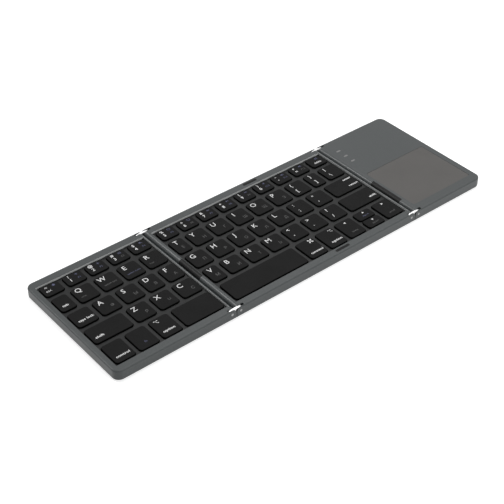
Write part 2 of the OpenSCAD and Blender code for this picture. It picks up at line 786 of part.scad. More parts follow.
module port_outline(grow) {
    r = port_h / 2 + grow;
    translate([port_x - port_w / 2 - grow + r, port_z - r]) square([port_w + 2 * grow - 2 * r, 2 * r]);
    for (side = [-1, 1]) translate([port_x + side * (port_w / 2 + grow - r), port_z]) circle(r);
}

module right_frame() {
    color("DimGray") {
        difference() {
            outer_body(right_x, right_hinge_x + leaf_gap / 2);
            box([right_cavity[0], -cavity_y, foot_h + eps], [right_cavity[1], cavity_y, top_wall_under]);
            cover_seat(right_cover);
            link_slots(right_hinge_x, 1);
            translate([0, 0, touch_under]) linear_extrude(touch_t + 1) touch_outline(touch_clear);
            translate([0, 0, top_wall_under - eps]) linear_extrude(top_wall_t) touch_outline(-touch_ledge);
            for (i = [0 : 2])
                translate([0, 0, top_wall_under - eps]) linear_extrude(top_wall_t + 2 * eps)
                    indicator_outline(i, indicator_clear);
            along_y(cavity_y - eps, half_d + eps) port_outline(port_clear);
            flex_form(right_hinge_x, 1, right_flex_y, right_flex_w, right_cavity[0] + eps, flex_clear);
        }
        for (p = right_screws_at)
            difference() {
                translate([p[0], p[1], cover_top])
                    cylinder(r = boss_r, h = top_wall_under - cover_top + eps);
                translate([p[0], p[1], cover_top - eps])
                    cylinder(r = screw_r + screw_clear, h = screw_top - cover_top + eps);
            }
    }
}

module right_bottom_cover() {
    color("DarkSlateGray") {
        cover_plate(right_cover, right_screws_at);
        for (x = [board_x[0] + standoff_inset, board_x[1] - standoff_inset])
            for (y = [board_y[0] + standoff_inset, board_y[1] - standoff_inset])
                translate([x, y, cover_top - eps]) cylinder(r = standoff_r, h = standoff_h + eps);
    }
}

module right_screws() {
    screws(right_screws_at);
}

module touch_panel() {
    color("Gray") translate([0, 0, touch_under]) linear_extrude(touch_t) touch_outline(0);
}

module main_board() {
    chip_y = board_y[0] + chip_front;
    crystal_x = board_x[1] - chip_inset - crystal_w;
    color("DarkGreen") {
        box([board_x[0], board_y[0], board_under], [board_x[1], board_y[1], board_top]);
        box([board_x[0] + chip_inset, chip_y, board_top - eps],
            [board_x[0] + chip_inset + chip_w, chip_y + chip_w, board_top + chip_h]);
        box([crystal_x, chip_y, board_top - eps],
            [crystal_x + crystal_w, chip_y + socket_d, board_top + chip_h]);
        box([port_x - socket_w / 2, board_y[0] + socket_d, board_top - eps],
            [port_x + socket_w / 2, board_y[0] + 2 * socket_d, board_top + chip_h]);
    }
}

module battery() {
    color("Silver")
        box([battery_x[0], battery_y[0], cover_top], [battery_x[1], battery_y[1], cover_top + battery_t]);
}

module charging_port() {
    y1 = half_d - port_sink;
    y0 = y1 - port_l;
    color("Silver") {
        difference() {
            along_y(y0, y1) port_outline(0);
            along_y(y0 + port_t, y1 + eps) port_outline(-port_t);
        }
        box([port_x - tongue_w / 2, y0 + port_t - eps, port_z - tongue_t / 2],
            [port_x + tongue_w / 2, y1 - tongue_sink, port_z + tongue_t / 2]);
    }
}

module indicator_windows() {
    color("White")
        for (i = [0 : 2])
            translate([0, 0, top_wall_under]) linear_extrude(top_wall_t) indicator_outline(i, 0);
}

// The two links of a hinge, one at each end, with the holes of their pins
module hinge_links(hinge_x) {
    y_mid = half_d - outer_ear_t - link_side_clear - link_t / 2;
    color("Gainsboro")
        for (end = [-1, 1])
            along_y(end * y_mid - link_t / 2, end * y_mid + link_t / 2)
                difference() {
                    union() {
                        translate([hinge_x - pin_dx, pin_z - link_end_r])
                            square([2 * pin_dx, 2 * link_end_r]);
                        for (side = [-1, 1]) translate([hinge_x + side * pin_dx, pin_z]) circle(link_end_r);
                    }
                    for (side = [-1, 1]) translate([hinge_x + side * pin_dx, pin_z]) circle(pin_r);
                }
}

// The four pins of a hinge, two through each link
module hinge_pins(hinge_x) {
    y1 = half_d - pin_sink;
    y0 = half_d - outer_ear_t - link_t - 2 * link_side_clear - pin_inner_l;
    color("Gainsboro")
        for (end = [-1, 1])
            for (side = [-1, 1])
                along_y(end > 0 ? y0 : -y1, end > 0 ? y1 : -y0)
                    translate([hinge_x + side * pin_dx, pin_z]) circle(pin_r);
}

module left_hinge_links() {
    hinge_links(left_hinge_x);
}

module left_hinge_pins() {
    hinge_pins(left_hinge_x);
}

module right_hinge_links() {
    hinge_links(right_hinge_x);
}

module right_hinge_pins() {
    hinge_pins(right_hinge_x);
}

module left_flex_cable() {
    color("Black") flex_form(left_hinge_x, 1, left_flex_y, left_flex_w, middle_cavity[0], 0);
}

module right_flex_cable() {
    color("Black") flex_form(right_hinge_x, 1, right_flex_y, right_flex_w, right_cavity[0], 0);
}

// A key cap: hollow below, with a stud that presses its dome
module key_cap(k) {
    difference() {
        translate([0, 0, key_under]) linear_extrude(key_h) round_rect(k[0], k[1], k[2], k[3], key_r);
        translate([0, 0, key_under - eps]) linear_extrude(key_ceiling - key_under + eps)
            round_rect(k[0] + key_wall, k[1] - key_wall, k[2] + key_wall, k[3] - key_wall,
                key_r - key_wall);
    }
    translate([(k[0] + k[1]) / 2, (k[2] + k[3]) / 2, stud_under])
        cylinder(r = stud_r, h = key_ceiling - stud_under + eps);
}

module key_caps(keys) {
    color("Black") for (k = keys) key_cap(k);
}

module keys_left_number_row() {
    key_caps(left_1);
}

module keys_left_side() {
    key_caps(LEFT_SIDE_KEYS);
}

module keys_middle_number_row() {
    key_caps(middle_1);
}

module keys_middle_side() {
    key_caps(MIDDLE_SIDE_KEYS);
}

module single_key(place) {
    key_caps([place]);
}

left_frame();
left_bottom_cover();
left_key_plate();
left_switch_sheet();
middle_frame();
middle_bottom_cover();
middle_key_plate();
middle_switch_sheet();
rim_bumpers();
right_frame();
right_bottom_cover();
touch_panel();
main_board();
battery();
charging_port();
indicator_windows();
left_hinge_links();
left_hinge_pins();
right_hinge_links();
right_hinge_pins();
left_flex_cable();
right_flex_cable();
left_feet();
middle_feet();
right_feet();
left_screws();
middle_screws();
right_screws();
keys_left_number_row();
keys_left_side();
keys_middle_number_row();
keys_middle_side();
for (key = SINGLE_KEYS) single_key(key[1]);
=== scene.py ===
# %% [markdown]
# # A folding keyboard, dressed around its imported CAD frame
# The CAD model already holds the three leaves, the hinges, the feet and the hidden parts, at real size and in
# metres. This lesson gives them their finishes, and builds the key caps and their printed legends, which a
# flat-topped CAD solid cannot show well.

import json
import math

import bmesh
import bpy
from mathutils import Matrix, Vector


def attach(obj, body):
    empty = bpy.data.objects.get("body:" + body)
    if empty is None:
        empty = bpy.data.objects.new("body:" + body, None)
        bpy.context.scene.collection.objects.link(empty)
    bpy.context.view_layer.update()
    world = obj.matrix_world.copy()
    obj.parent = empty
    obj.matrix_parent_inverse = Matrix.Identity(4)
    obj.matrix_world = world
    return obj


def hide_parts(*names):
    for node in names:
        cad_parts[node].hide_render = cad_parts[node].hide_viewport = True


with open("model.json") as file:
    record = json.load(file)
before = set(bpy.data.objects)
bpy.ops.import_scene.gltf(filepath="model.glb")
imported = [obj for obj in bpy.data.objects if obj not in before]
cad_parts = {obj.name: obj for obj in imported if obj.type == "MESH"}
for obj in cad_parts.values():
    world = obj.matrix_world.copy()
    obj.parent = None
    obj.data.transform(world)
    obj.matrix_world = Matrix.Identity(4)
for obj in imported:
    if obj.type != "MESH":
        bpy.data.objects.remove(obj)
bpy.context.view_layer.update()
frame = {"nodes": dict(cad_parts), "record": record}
nodes = frame["nodes"]

# %% [markdown]
# ## Camera
# The photograph was taken with a long lens from the front left, well above the keyboard. Its place was solved
# from the corners of the leaves, so here the camera is set from the angles, the distance and the point that
# it looks at. Nothing is shifted, because the keyboard lies in the middle of the picture.

# %% Camera
MM = 0.001
camera_azimuth = math.radians(-39.465)
camera_elevation = math.radians(38.677)
camera_distance = 0.768
camera_target = Vector((-16.832 * MM, -5.722 * MM, 0))

camera_data = bpy.data.cameras.new("camera")
sensor_width = 36
focal_pixels, picture_pixels = 1188, 504
camera_data.sensor_width = sensor_width
camera_data.lens = sensor_width * focal_pixels / picture_pixels
camera_data.clip_start = 0.01
camera_data.clip_end = 20
camera = bpy.data.objects.new("camera", camera_data)
bpy.context.scene.collection.objects.link(camera)
bpy.context.scene.camera = camera
back = Vector((
    math.sin(camera_azimuth) * math.cos(camera_elevation),
    -math.cos(camera_azimuth) * math.cos(camera_elevation),
    math.sin(camera_elevation),
))
camera.location = camera_target + back * camera_distance
camera.rotation_mode = "QUATERNION"
camera.rotation_quaternion = (-back).to_track_quat("-Z", "Y")
print("camera at", [round(v, 3) for v in camera.location])

# %% [markdown]
# ## Helpers for materials
# Every finish is a small node tree. A few helpers keep the cells below short: one makes a material and its
# Principled shader, one adds a node and fills its sockets, and one sets values that are the same all over.
# The others make what most finishes need: noise on Object coordinates, a colour that wanders between two
# tones, and a fine grain in the surface.

# %% Material helpers
def new_material(name):
    material = bpy.data.materials.new(name)
    material.use_nodes = True
    tree = material.node_tree
    return material, tree, tree.nodes["Principled BSDF"]


def add_node(tree, kind, inputs=None, **settings):
    made = tree.nodes.new(kind)
    for key, value in settings.items():
        setattr(made, key, value)
    for key, value in (inputs or {}).items():
        if isinstance(value, bpy.types.NodeSocket):
            tree.links.new(value, made.inputs[key])
        else:
            made.inputs[key].default_value = value
    return made


def set_values(shader, **values):
    for name, value in values.items():
        shader.inputs[name.replace("_", " ")].default_value = value


def object_place(tree):
    return add_node(tree, "ShaderNodeTexCoord").outputs["Object"]


def math_node(tree, operation, a, b=0.0):
    return add_node(tree, "ShaderNodeMath", {0: a, 1: b}, operation=operation).outputs[0]


def vector_node(tree, operation, a, b):
    return add_node(tree, "ShaderNodeVectorMath", {0: a, 1: b}, operation=operation).outputs[0]


def mix_colors(tree, factor, a, b, blend="MIX"):
    return add_node(
        tree, "ShaderNodeMix", {"Factor": factor, 6: a, 7: b}, data_type="RGBA", blend_type=blend
    ).outputs[2]


def remap(tree, value, low, high, to_low=0.0, to_high=1.0):
    return add_node(
        tree, "ShaderNodeMapRange",
        {"Value": value, "From Min": low, "From Max": high, "To Min": to_low, "To Max": to_high},
    ).outputs["Result"]


def noise(tree, scale, detail=3.0, roughness=0.5):
    return add_node(
        tree, "ShaderNodeTexNoise",
        {"Vector": object_place(tree), "Scale": scale, "Detail": detail, "Roughness": roughness},
    ).outputs["Fac"]


def stretched_noise(tree, stretch, detail):
    place = add_node(tree, "ShaderNodeMapping", {"Vector": object_place(tree), "Scale": stretch})
    return add_node(
        tree, "ShaderNodeTexNoise", {"Vector": place.outputs[0], "Scale": 1.0, "Detail": detail}
    ).outputs["Fac"]


def grey(level, warm=0.0, green=0.0):
    return (level * (1 + warm), level * (1 + green), level * (1 - warm), 1)


def mottle(tree, shader, texture, dark, pale, low=0.3, high=0.7):
    color = mix_colors(tree, remap(tree, texture, low, high), dark, pale)
    tree.links.new(color, shader.inputs["Base Color"])


def grain_bump(tree, shader, scale, depth, strength=0.5):
    height = noise(tree, scale, 2.0)
    bump = add_node(
        tree, "ShaderNodeBump", {"Height": height, "Strength": strength, "Distance": depth}
    )
    tree.links.new(bump.outputs["Normal"], shader.inputs["Normal"])
    return height


print("helpers ready")

# %% [markdown]
# ## Stage and light
# A product photograph on white paper has almost no shadow. The floor is a plain pale plane: for the camera it
# adds a little glow, so that the paper reads as white, while its diffuse part still takes the object's soft
# shadow. The light is a wide soft box above, one in front, a small one behind on the left, all aimed at the
# origin, and an even world. The front box has no reflection, so that the touch leaf doesn't turn pale when it
# is seen from behind.

# %% Floor and world
FLOOR_HALF = 3.0
FLOOR_Z = -0.2 * MM
PAPER_GLOW = 0.6
ROOM_LIGHT = 0.42
SEEN_LIGHT = 1.0


def seen_directly(tree):
    path = add_node(tree, "ShaderNodeLightPath")
    seen = math_node(tree, "MAXIMUM", path.outputs["Is Camera Ray"], path.outputs["Is Glossy Ray"])
    return math_node(tree, "MAXIMUM", seen, path.outputs["Is Transmission Ray"])


floor_mesh = bpy.data.meshes.new("floor")
floor_corners = [(x * FLOOR_HALF, y * FLOOR_HALF, FLOOR_Z) for x, y in ((-1, -1), (1, -1), (1, 1), (-1, 1))]
floor_mesh.from_pydata(floor_corners, [], [(0, 1, 2, 3)])
floor = bpy.data.objects.new("floor", floor_mesh)
bpy.context.scene.collection.objects.link(floor)

paper, tree, shader = new_material("white_paper")
set_values(shader, Base_Color=grey(0.7), Roughness=0.9, Specular_IOR_Level=0.0)
strength = math_node(tree, "MULTIPLY", seen_directly(tree), PAPER_GLOW)
glow = add_node(tree, "ShaderNodeEmission", {"Color": (1, 1, 1, 1), "Strength": strength})
together = add_node(tree, "ShaderNodeAddShader", {0: shader.outputs[0], 1: glow.outputs[0]})
tree.links.new(together.outputs[0], tree.nodes["Material Output"].inputs["Surface"])
floor_mesh.materials.append(paper)

world = bpy.data.worlds.new("soft_room")
bpy.context.scene.world = world
world.use_nodes = True
tree = world.node_tree
tree.nodes.clear()
seen = seen_directly(tree)
room = add_node(tree, "ShaderNodeBackground", {"Color": (1, 1, 1, 1), "Strength": ROOM_LIGHT})
white = add_node(tree, "ShaderNodeBackground", {"Color": (1, 1, 1, 1), "Strength": SEEN_LIGHT})
both = add_node(tree, "ShaderNodeMixShader", {0: seen, 1: room.outputs[0], 2: white.outputs[0]})
add_node(tree, "ShaderNodeOutputWorld", {"Surface": both.outputs[0]})
print("floor and world ready")

# %% Soft boxes
def soft_box(name, place, width, height, power):
    data = bpy.data.lights.new(name, "AREA")
    data.shape = "RECTANGLE"
    data.size, data.size_y = width, height
    data.energy = power
    lamp = bpy.data.objects.new(name, data)
    bpy.context.scene.collection.objects.link(lamp)
    lamp.location = place
    lamp.rotation_mode = "QUATERNION"
    lamp.rotation_quaternion = (-Vector(place)).to_track_quat("-Z", "Y")
    return lamp


soft_box("overhead_box", (0.4, 0.15, 0.95), width=1.0, height=0.8, power=4.0)
front_box = soft_box("front_box", (0.4, -0.95, 0.5), width=0.8, height=0.5, power=7.0)
front_box.visible_glossy = False
soft_box("left_box", (-0.45, 0.76, 0.97), width=0.32, height=0.32, power=5.0)
print("three soft boxes")

# %% [markdown]
# ## Shell of the leaves
# The leaves are moulded in matt dark grey with a fine grain. The deck between the keys is darker and less
# glossy, and the step around it is painted pale, as a painted highlight for the light that its lip catches.
# All of
# that is one material: it reads the height and the place of each point, so the deck, the step and the rim
# each get their own tone.

# %% Shell material
shell, tree, shader = new_material("shell_plastic")
place = add_node(tree, "ShaderNodeSeparateXYZ", {0: object_place(tree)})
height = place.outputs["Z"]
RIM_Z = 8.0 * MM
DECK_Z = 6.4 * MM
LEFT_RECESS_X = (-148.6, -67.1)
MIDDLE_RECESS_X = (-61.5, 85.1)
RECESS_Y = (-44.85, 43.95)


def between(tree, value, low, high):
    centred = math_node(tree, "SUBTRACT", value, (low + high) / 2 * MM)
    return math_node(tree, "LESS_THAN", math_node(tree, "ABSOLUTE", centred), (high - low) / 2 * MM)


in_left = between(tree, place.outputs["X"], *LEFT_RECESS_X)
in_middle = between(tree, place.outputs["X"], *MIDDLE_RECESS_X)
in_either = math_node(tree, "ADD", in_left, in_middle)
inside = math_node(tree, "MULTIPLY", in_either, between(tree, place.outputs["Y"], *RECESS_Y))
low_enough = remap(tree, height, DECK_Z + 0.03 * MM, DECK_Z + 0.1 * MM, 1, 0)
on_deck = math_node(tree, "MULTIPLY", inside, low_enough)
below_rim = remap(tree, height, RIM_Z - 0.08 * MM, RIM_Z - 0.03 * MM, 1, 0)
painted_highlight_on_step = math_node(tree, "MULTIPLY", inside, below_rim)
speckle = remap(tree, noise(tree, 2600, 2.0), 0.3, 0.7)
rim_color = mix_colors(tree, speckle, grey(0.047, -0.06, 0.04), grey(0.06, -0.06, 0.04))
deck_color = mix_colors(tree, speckle, grey(0.01, -0.02, 0.01), grey(0.014, -0.02, 0.01))
# painted highlight: the step below the rim gets a pale tone that stands for the light its lip catches
painted_lip_highlight = grey(0.42, -0.01, 0.01)
color = mix_colors(tree, painted_highlight_on_step, rim_color, painted_lip_highlight)
color = mix_colors(tree, on_deck, color, deck_color)
tree.links.new(color, shader.inputs["Base Color"])
rough = remap(tree, noise(tree, 60, 4.0), 0.3, 0.7, 0.29, 0.36)
tree.links.new(rough, shader.inputs["Roughness"])
grain_bump(tree, shader, 3400, 0.02 * MM, 0.3)
tree.links.new(remap(tree, on_deck, 0, 1, 0.32, 0.19), shader.inputs["Specular IOR Level"])

cover, tree, shader = new_material("cover_plastic")
mottle(tree, shader, noise(tree, 1800, 3.0), grey(0.06, -0.03, 0.02), grey(0.078, -0.03, 0.02))
set_values(shader, Roughness=0.6, Specular_IOR_Level=0.2)
grain_bump(tree, shader, 2400, 0.05 * MM, 0.5)
print("shell and cover plastics")

# %% [markdown]
# ## Black plastics and rubber
# The key caps are black with a silky grain. Their sides are duller than their tops and painted darker, as
# painted shade. The flexible cables are a satin film with a faint lengthwise streak, and the feet and rim
# bumpers are dull rubber. The three look alike from afar, so what tells them apart is their gloss and the
# size of their grain.

# %% Black materials
CAP_SIDE_END = 7.15 * MM
CAP_FACE_START = 7.4 * MM

cap_plastic, tree, shader = new_material("key_cap_plastic")
speckle = remap(tree, noise(tree, 2200, 2.0), 0.3, 0.7)
cap_place = add_node(tree, "ShaderNodeSeparateXYZ", {0: object_place(tree)})
cap_top_not_shaded = remap(tree, cap_place.outputs["Z"], CAP_SIDE_END, CAP_FACE_START)
# painted shade: the cap sides below the top get a near-black tone that stands for the shade on them
painted_side_shade = grey(0.0015)
top_color = mix_colors(tree, speckle, grey(0.0075), grey(0.0095))
tree.links.new(mix_colors(tree, cap_top_not_shaded, painted_side_shade, top_color), shader.inputs["Base Color"])
tree.links.new(remap(tree, noise(tree, 90, 3.0), 0.3, 0.7, 0.5, 0.6), shader.inputs["Roughness"])
grain_bump(tree, shader, 3000, 0.02 * MM, 0.3)
tree.links.new(remap(tree, cap_top_not_shaded, 0, 1, 0.01, 0.055), shader.inputs["Specular IOR Level"])

film, tree, shader = new_material("cable_film")
streak = stretched_noise(tree, (200, 2600, 200), 1.0)
mottle(tree, shader, streak, grey(0.005), grey(0.009), 0.35, 0.65)
set_values(shader, Roughness=0.42, Specular_IOR_Level=0.15)

rubber, tree, shader = new_material("black_rubber")
mottle(tree, shader, noise(tree, 500, 5.0, 0.6), grey(0.012), grey(0.03), 0.35, 0.75)
set_values(shader, Roughness=0.8, Specular_IOR_Level=0.15)
grain_bump(tree, shader, 1500, 0.05 * MM, 0.6)
print("cap plastic, cable film, rubber")

# %% [markdown]
# ## Metals
# The links are pressed bright sheet and the pins are turned rod. The links, the key plates and the port's
# shell get a fine brushed streak that runs along X, made by stretching noise, and the pins and screws get an
# even grain. One function makes all five, each with its own tone.

# %% Steel finishes
EVEN_GRAIN = (1200, 1200, 1200)


def brushed_steel(name, tone, roughness, stretch=(60, 1600, 1600)):
    material, tree, shader = new_material(name)
    streak = stretched_noise(tree, stretch, 3.0)
    mottle(tree, shader, streak, grey(tone * 0.9), grey(tone), 0.35, 0.65)
    rough = remap(tree, streak, 0.3, 0.7, roughness - 0.06, roughness + 0.06)
    tree.links.new(rough, shader.inputs["Roughness"])
    bump = add_node(tree, "ShaderNodeBump", {"Height": streak, "Strength": 0.2, "Distance": 0.01 * MM})
    tree.links.new(bump.outputs["Normal"], shader.inputs["Normal"])
    set_values(shader, Metallic=1.0)
    return material


link_metal = brushed_steel("link_metal", 0.88, 0.36)
pin_metal = brushed_steel("pin_metal", 0.3, 0.36, EVEN_GRAIN)
plate_steel = brushed_steel("plate_steel", 0.6, 0.4)
port_steel = brushed_steel("port_steel", 0.7, 0.25)
screw_steel = brushed_steel("screw_steel", 0.12, 0.4, EVEN_GRAIN)
print("five steels")

# %% [markdown]
# ## Touch panel, windows and hidden parts
# The touch panel is a smooth, slightly warm grey sheet that sits a hair below the rim. The indicator windows
# are diffusing plastic, paler than the shell but unlit. The board, the battery pouch and the switch sheets
# only show when a cover comes off, but they too have a plain finish of their own.

# %% Panel, windows, board, pouch and sheets
panel, tree, shader = new_material("touch_surface")
mottle(tree, shader, noise(tree, 45, 3.0), grey(0.07, 0.045), grey(0.078, 0.045))
set_values(shader, Roughness=0.4, Specular_IOR_Level=0.25)
grain_bump(tree, shader, 4000, 0.01 * MM, 0.2)

window, tree, shader = new_material("indicator_plastic")
mottle(tree, shader, noise(tree, 900, 2.0), grey(0.135), grey(0.155))
set_values(shader, Roughness=0.35)

board, tree, shader = new_material("board_laminate")
traces = add_node(tree, "ShaderNodeTexBrick", {
    "Vector": object_place(tree), "Scale": 180.0, "Mortar Size": 0.03,
    "Color1": (0.01, 0.09, 0.03, 1), "Color2": (0.012, 0.1, 0.035, 1), "Mortar": (0.02, 0.16, 0.06, 1),
})
tree.links.new(traces.outputs["Color"], shader.inputs["Base Color"])
set_values(shader, Roughness=0.35)

pouch, tree, shader = new_material("battery_pouch")
mottle(tree, shader, noise(tree, 160, 4.0), grey(0.5), grey(0.62))
set_values(shader, Roughness=0.38, Metallic=1.0)
grain_bump(tree, shader, 220, 0.2 * MM, 0.4)

switch_film, tree, shader = new_material("switch_film")
mottle(tree, shader, noise(tree, 120, 3.0), grey(0.28), grey(0.36))
set_values(shader, Roughness=0.55)
print("panel, window, board, pouch, film")

# %% Finishes of the CAD nodes
finishes = {
    "shell": shell, "cover": cover, "rubber_parts": rubber, "touch_surface": panel, "circuit_board": board,
    "battery_pouch": pouch, "port_shell": port_steel, "indicator_windows": window, "hinge_metal": link_metal,
    "flexible_cable": film, "screw_steel": screw_steel, "steel_plate": plate_steel,
    "switch_sheet": switch_film, "key_caps": cap_plastic,
}
slot_of = {part["node"]: part["material_slot"] for part in frame["record"]["subparts"]}
for name, node in nodes.items():
    node.data.materials.clear()
    node.data.materials.append(pin_metal if name.endswith("_pins") else finishes[slot_of[name]])
print("finishes on", len(nodes), "nodes")

# %% [markdown]
# ## The plan of the keys
# The key caps are laid out as on the real keyboard: five rows in each of the two key leaves, with a constant
# gap, where one key of a row takes up what is left. The same rule, in millimetres, gives each cap's place
# here. Keys that share a CAD node share a piece.

# %% Rows of keys
letter_w = 14.2
key_gap = 2.8
bottom_gap = 2.6
arrow_gap = 0.6
rows = {1: (32.0, 42.5), 2: (14.1, 28.8), 3: (-3.8, 10.9), 4: (-21.7, -7.0), 5: (-42.9, -24.9)}
fields = {"left": (-147.1, -68.25), "middle": (-59.3, 83.7)}
row_keys = {
    ("left", 1): [("esc", 0), ("1", 0), ("2", 0), ("3", 0), ("4", 0)],
    ("left", 2): [("tab", 0)] + [(key, letter_w) for key in "QWER"],
    ("left", 3): [("caps lock", 14.7), ("A", letter_w), ("S", letter_w), ("D", 12.2), ("F", 0)],
    ("left", 4): [("shift", 27.3), ("Z", letter_w), ("X", letter_w), ("C", 0)],
    ("left", 5): [("control", letter_w), ("fn", letter_w), ("option", letter_w), ("left_space", 0)],
    ("middle", 1): [(key, 0) for key in "567890-="] + [("delete", 0)],
    ("middle", 2): [("T", 10.6)] + [(key, letter_w) for key in "YUIOP["] + [("]", 0), ("\\", letter_w)],
    ("middle", 3): [("G", 14.0)] + [(key, letter_w) for key in "HJKL;'"] + [("enter", 0)],
    ("middle", 4): [("V", 10.6)] + [(key, letter_w) for key in "BNM,./"] + [("right shift", 0)],
    ("middle", 5): [("right_space", 0)]
    + [(key, letter_w) for key in ("command", "right option", "left arrow", "up and down", "right arrow")],
}
groups = {("left", 1): "keys_left_number_row", ("middle", 1): "keys_middle_number_row"}
key_places = {}
for (leaf, row), keys in row_keys.items():
    start, end = fields[leaf]
    front, rear = rows[row]
    gap = bottom_gap if row == 5 else key_gap
    flexible = sum(1 for _, width in keys if width == 0)
    spare = (end - start - gap * (len(keys) - 1) - sum(width for _, width in keys)) / flexible
    for key, width in keys:
        width = width or spare
        if row == 1:
            node_name = groups[(leaf, row)]
        elif len(key) == 1 and key.isalpha() or key.endswith("_space"):
            node_name = "key_" + key.lower()
        else:
            node_name = "keys_" + leaf + "_side"
        if key == "up and down":
            half = (rear - front - arrow_gap) / 2
            key_places["up arrow"] = (node_name, start, start + width, rear - half, rear)
            key_places["down arrow"] = (node_name, start, start + width, front, front + half)
        else:
            key_places[key] = (node_name, start, start + width, front, rear)
        start += width + gap
print("keys:", len(key_places), "in", len({place[0] for place in key_places.values()}), "nodes")

# %% [markdown]
# ## Key caps
# A cap is a low block with round corners and a soft upper edge. All sixty-four have the same corners and
# differ only in width and depth, so one Geometry Nodes tree makes them: it builds one small cap, puts a copy
# on each key's centre, and then pushes the four corners of each copy outwards to the size stored on its
# point. Scaling the copies instead would have stretched the corners into ovals.

# %% Key cap tree
CAP_TOP = 7.5 * MM
CAP_LOW = 5.7 * MM
CORNER_POINTS = 7
EDGE_STEPS = 5
FLAT_NORMAL = 0.995


def input_socket(tree, name, kind, value=None):
    socket = tree.interface.new_socket(name, in_out="INPUT", socket_type=kind)
    if value is not None:
        socket.default_value = value
    return socket


def build_cap_tree():
    tree = bpy.data.node_groups.new("key_caps_from_points", "GeometryNodeTree")
    tree.interface.new_socket("Geometry", in_out="OUTPUT", socket_type="NodeSocketGeometry")
    input_socket(tree, "Key centres", "NodeSocketGeometry")
    input_socket(tree, "Corner radius", "NodeSocketFloat", 2.2 * MM)
    input_socket(tree, "Cap height", "NodeSocketFloat", CAP_TOP - CAP_LOW)
    input_socket(tree, "Edge radius", "NodeSocketFloat", 0.45 * MM)
    input_socket(tree, "Side taper", "NodeSocketFloat", 0.15 * MM)
    input_socket(tree, "Material", "NodeSocketMaterial")
    given = add_node(tree, "NodeGroupInput")
    radius = given.outputs["Corner radius"]
    half = math_node(tree, "ADD", radius, 0.1 * MM)
    side = math_node(tree, "MULTIPLY", half, 2.0)
    square = add_node(tree, "GeometryNodeCurvePrimitiveQuadrilateral", {"Width": side, "Height": side})
    rounded = add_node(
        tree, "GeometryNodeFilletCurve",
        {"Curve": square.outputs[0], "Count": CORNER_POINTS, "Radius": radius}, mode="POLY",
    )
    plate = add_node(tree, "GeometryNodeFillCurve", {0: rounded.outputs[0]}, mode="NGONS")
    base = add_node(tree, "GeometryNodeFlipFaces", {0: plate.outputs[0]})
    edge = given.outputs["Edge radius"]
    wall = math_node(tree, "SUBTRACT", given.outputs["Cap height"], edge)
    levels = [(wall, given.outputs["Side taper"])]
    previous_rise, previous_inset = 0.0, 0.0
    for i in range(1, EDGE_STEPS + 1):
        angle = math.pi / 2 * i / EDGE_STEPS
        rise, inset = math.sin(angle), 1 - math.cos(angle)
        levels.append((
            math_node(tree, "MULTIPLY", edge, rise - previous_rise),
            math_node(tree, "MULTIPLY", edge, inset - previous_inset),
        ))
        previous_rise, previous_inset = rise, inset
    mesh, top, reach = plate.outputs[0], None, half
    for rise, inset in levels:
        up = add_node(tree, "ShaderNodeCombineXYZ", {"Z": rise})
        grown = add_node(
            tree, "GeometryNodeExtrudeMesh",
            {"Mesh": mesh, "Offset": up.outputs[0], "Offset Scale": 1.0, "Individual": False},
        )
        if top is not None:
            tree.links.new(top, grown.inputs["Selection"])
        smaller = math_node(tree, "SUBTRACT", reach, inset)
        factor = math_node(tree, "DIVIDE", smaller, reach)
        shrink = add_node(tree, "ShaderNodeCombineXYZ", {"X": factor, "Y": factor, "Z": 1.0})
        where = add_node(tree, "GeometryNodeInputPosition")
        moved = vector_node(tree, "MULTIPLY", where.outputs[0], shrink.outputs[0])
        placed = add_node(
            tree, "GeometryNodeSetPosition",
            {"Geometry": grown.outputs["Mesh"], "Selection": grown.outputs["Top"], "Position": moved},
        )
        mesh, top, reach = placed.outputs[0], grown.outputs["Top"], smaller
    closed = add_node(tree, "GeometryNodeJoinGeometry")
    tree.links.new(mesh, closed.inputs[0])
    tree.links.new(base.outputs[0], closed.inputs[0])
    closed = add_node(
        tree, "GeometryNodeMergeByDistance", {"Geometry": closed.outputs[0], "Distance": 0.002 * MM}
    )
    where = add_node(tree, "GeometryNodeInputPosition")
    corner = add_node(tree, "ShaderNodeVectorMath", {0: where.outputs[0]}, operation="SIGN")
    marked = add_node(
        tree, "GeometryNodeStoreNamedAttribute",
        {"Geometry": closed.outputs[0], "Name": "corner", "Value": corner.outputs[0]},
        data_type="FLOAT_VECTOR", domain="POINT",
    )
    copies = add_node(
        tree, "GeometryNodeInstanceOnPoints",
        {"Points": given.outputs["Key centres"], "Instance": marked.outputs[0]},
    )
    real = add_node(tree, "GeometryNodeRealizeInstances", {0: copies.outputs[0]})
    size = add_node(tree, "GeometryNodeInputNamedAttribute", {"Name": "half_size"}, data_type="FLOAT_VECTOR")
    corner = add_node(tree, "GeometryNodeInputNamedAttribute", {"Name": "corner"}, data_type="FLOAT_VECTOR")
    unit = add_node(tree, "ShaderNodeCombineXYZ", {"X": half, "Y": half})
    growth = vector_node(tree, "SUBTRACT", size.outputs[0], unit.outputs[0])
    push = vector_node(tree, "MULTIPLY", growth, corner.outputs[0])
    flat = vector_node(tree, "MULTIPLY", push, (1, 1, 0))
    spread = add_node(tree, "GeometryNodeSetPosition", {"Geometry": real.outputs[0], "Offset": flat})
    normal = add_node(tree, "GeometryNodeInputNormal")
    normal = add_node(tree, "ShaderNodeSeparateXYZ", {0: normal.outputs[0]})
    upright = math_node(tree, "ABSOLUTE", normal.outputs["Z"])
    curved = math_node(tree, "LESS_THAN", upright, FLAT_NORMAL)
    smooth = add_node(
        tree, "GeometryNodeSetShadeSmooth", {"Geometry": spread.outputs[0], "Shade Smooth": curved}
    )
    coated = add_node(
        tree, "GeometryNodeSetMaterial",
        {"Geometry": smooth.outputs[0], "Material": given.outputs["Material"]},
    )
    result = add_node(tree, "NodeGroupOutput")
    tree.links.new(coated.outputs[0], result.inputs["Geometry"])
    return tree


cap_tree = build_cap_tree()
print("cap tree:", len(cap_tree.nodes), "nodes")

# %% Caps on every key
def set_input(modifier, name, value):
    for item in modifier.node_group.interface.items_tree:
        if item.item_type == "SOCKET" and item.in_out == "INPUT" and item.name == name:
            modifier[item.identifier] = value


